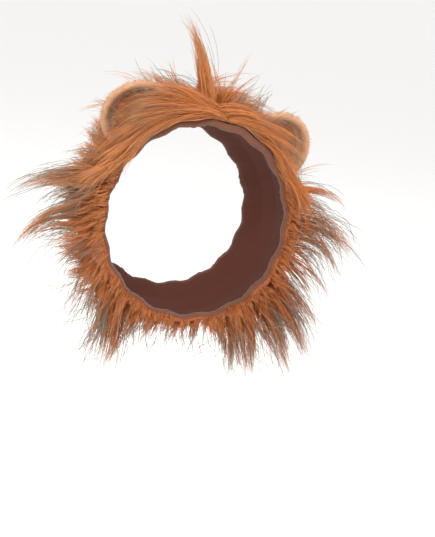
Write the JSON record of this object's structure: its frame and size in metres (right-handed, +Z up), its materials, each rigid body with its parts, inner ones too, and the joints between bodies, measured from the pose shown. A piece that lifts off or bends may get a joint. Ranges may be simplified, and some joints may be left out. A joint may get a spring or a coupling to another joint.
{
  "type": "lion mane dog costume",
  "caption": "Pull-on hood for a small dog: a gathered cloth tube with a hem at the face and neck, a mane of long pile locks all round and two round cupped plush ears.",
  "frame": {"origin": "the inner top of the hood, where it sits on the crown of the head", "axes": "+Z up, -Y the way the wearer faces, +X the wearer's left"},
  "size_m": [0.3445, 0.1391, 0.3409],
  "materials": {
    "hood_knit": "warp knit backing cloth, red brown, matt",
    "hem_cloth": "brushed polyester, folded and gathered on elastic, matt",
    "long_pile": "long acrylic pile, orange with grey brown tips, soft sheen",
    "ear_plush": "short sheared plush, tan orange, matt",
    "ear_inner_plush": "short sheared plush, darker orange, matt"
  },
  "bodies": {
    "root": {"hood_backing": "hood_knit", "face_hem": "hem_cloth", "neck_hem": "hem_cloth", "mane_fur": "long_pile", "ear_left_back": "ear_plush", "ear_left_front": "ear_inner_plush", "ear_right_back": "ear_plush", "ear_right_front": "ear_inner_plush"}
  },
  "joints": []
}
